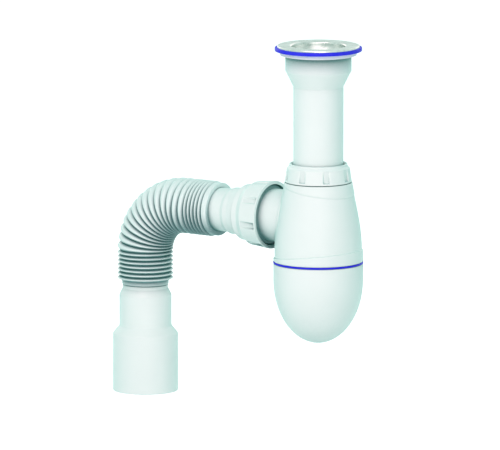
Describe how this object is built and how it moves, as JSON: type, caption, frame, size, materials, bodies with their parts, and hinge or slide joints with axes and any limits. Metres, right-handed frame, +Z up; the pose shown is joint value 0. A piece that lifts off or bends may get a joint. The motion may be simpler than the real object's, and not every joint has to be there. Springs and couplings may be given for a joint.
{
  "type": "sink trap",
  "caption": "Bottle sink trap: steel strainer waste on a tailpiece, unscrewing egg-shaped bottle, side outlet with a bellows hose and a stepped end coupling.",
  "frame": {"origin": "on the tailpiece axis, in the plane where the rim gasket's underside seats on the basin floor", "axes": "+Z up along the tailpiece and bottle axis, towards the strainer; the outlet arm runs along -X; +Y completes the frame"},
  "size_m": [0.219, 0.0684, 0.2798],
  "materials": {
    "white_plastic": "smooth moulded polypropylene, satin gloss",
    "nut_plastic": "smooth moulded polypropylene with grip grooves",
    "hose_plastic": "thin blow-moulded polypropylene",
    "slip_plastic": "plain moulded washer",
    "blue_rubber": "bright blue elastomer",
    "white_rubber": "soft white elastomer",
    "seal_rubber": "soft grey-white elastomer",
    "strainer_steel": "polished pressed stainless steel",
    "screw_steel": "turned stainless steel",
    "brass": "machined brass"
  },
  "bodies": {
    "waste": {"strainer_cup": "strainer_steel", "strainer_screw": "screw_steel", "rim_gasket": "blue_rubber", "basin_gasket": "white_rubber", "tailpiece": "white_plastic", "clamp_nut": "brass"},
    "neck_seal": {"neck_seal": "seal_rubber"},
    "bottle": {"bottle_body": "white_plastic"},
    "neck_ring": {"neck_slip_ring": "slip_plastic"},
    "neck_nut": {"neck_nut": "nut_plastic"},
    "cup_ring": {"cup_gasket": "blue_rubber"},
    "cup": {"bottle_cup": "white_plastic"},
    "outlet_ring": {"outlet_slip_ring": "slip_plastic"},
    "outlet_nut": {"outlet_nut": "nut_plastic"},
    "adapter": {"outlet_adapter": "white_plastic", "outlet_seal": "seal_rubber"},
    "hose": {"flex_hose": "hose_plastic"},
    "coupling": {"end_coupling": "white_plastic"}
  },
  "joints": [
    {"name": "height_slide", "type": "slide", "parent": "waste", "child": "neck_seal", "axis": [0, 0, 1], "range_m": [-0.03, 0.012]},
    {"name": "bottle_swivel", "type": "hinge", "parent": "neck_seal", "child": "bottle", "pos_m": [0, 0, -0.093], "axis": [0, 0, 1], "continuous": true},
    {"name": "neck_nut_travel", "type": "slide", "parent": "bottle", "child": "neck_ring", "axis": [0, 0, 1], "range_m": [0, 0.0091]},
    {"name": "neck_nut_turn", "type": "hinge", "parent": "neck_ring", "child": "neck_nut", "pos_m": [0, 0, -0.093], "axis": [0, 0, 1], "range_deg": [0, 1080]},
    {"name": "cup_travel", "type": "slide", "parent": "bottle", "child": "cup_ring", "axis": [0, 0, -1], "range_m": [0, 0.0091]},
    {"name": "cup_turn", "type": "hinge", "parent": "cup_ring", "child": "cup", "pos_m": [0, 0, -0.16275], "axis": [0, 0, -1], "range_deg": [0, 1080]},
    {"name": "outlet_nut_travel", "type": "slide", "parent": "bottle", "child": "outlet_ring", "axis": [-1, 0, 0], "range_m": [0, 0.0121]},
    {"name": "outlet_nut_turn", "type": "hinge", "parent": "outlet_ring", "child": "outlet_nut", "pos_m": [-0.055, 0, -0.1294], "axis": [-1, 0, 0], "range_deg": [0, 1440]},
    {"name": "outlet_swivel", "type": "hinge", "parent": "bottle", "child": "adapter", "pos_m": [-0.055, 0, -0.1294], "axis": [-1, 0, 0], "continuous": true},
    {"name": "hose_bend", "type": "hinge", "parent": "adapter", "child": "hose", "pos_m": [-0.12225, 0, -0.1669], "axis": [0, 1, 0], "range_deg": [-20, 30], "deforming": ["flex_hose"]},
    {"name": "hose_stretch", "type": "slide", "parent": "hose", "child": "coupling", "axis": [0, 0, -1], "range_m": [0, 0.02], "deforming": ["flex_hose"]}
  ],
  "couplings": [
    {"joint": "neck_nut_travel", "follows": "neck_nut_turn", "m_per_rad": 0.00047746},
    {"joint": "cup_travel", "follows": "cup_turn", "m_per_rad": 0.00047746},
    {"joint": "outlet_nut_travel", "follows": "outlet_nut_turn", "m_per_rad": 0.00047746}
  ]
}
